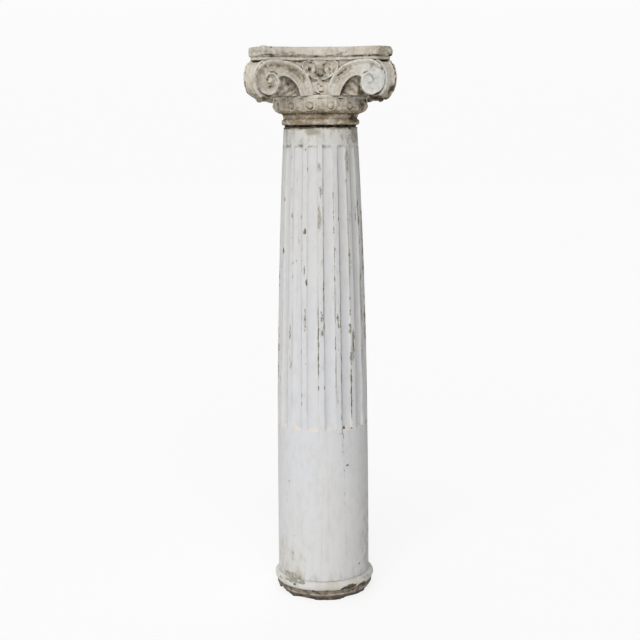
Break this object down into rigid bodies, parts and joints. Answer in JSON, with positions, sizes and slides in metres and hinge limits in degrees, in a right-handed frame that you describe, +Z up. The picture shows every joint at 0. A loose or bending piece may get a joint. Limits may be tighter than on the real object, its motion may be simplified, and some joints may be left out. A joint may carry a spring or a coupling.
{
  "type": "fluted column",
  "caption": "Free-standing fluted column with entasis, a plain drum below the flutes, a corner-scroll capital with an egg ring and hollow-sided abacus, and a turned foot ring.",
  "frame": {"origin": "centre of the flat underside of the foot ring, on the column's axis", "axes": "+Z up along the column's axis; -Y towards the pictured front, square to one hollow side of the abacus; +X to the right seen from the front"},
  "size_m": [0.4634, 0.4634, 1.7525],
  "materials": {
    "ring_paint": "worn, dirty off-white paint on turned wood, matt",
    "shaft_paint": "chipped white paint on a stave-built wooden shaft, low sheen",
    "capital_paint": "grimy cream paint on carved wood, matt"
  },
  "bodies": {
    "root": {"foot_ring": "ring_paint", "shaft": "shaft_paint", "capital": "capital_paint"}
  },
  "joints": []
}
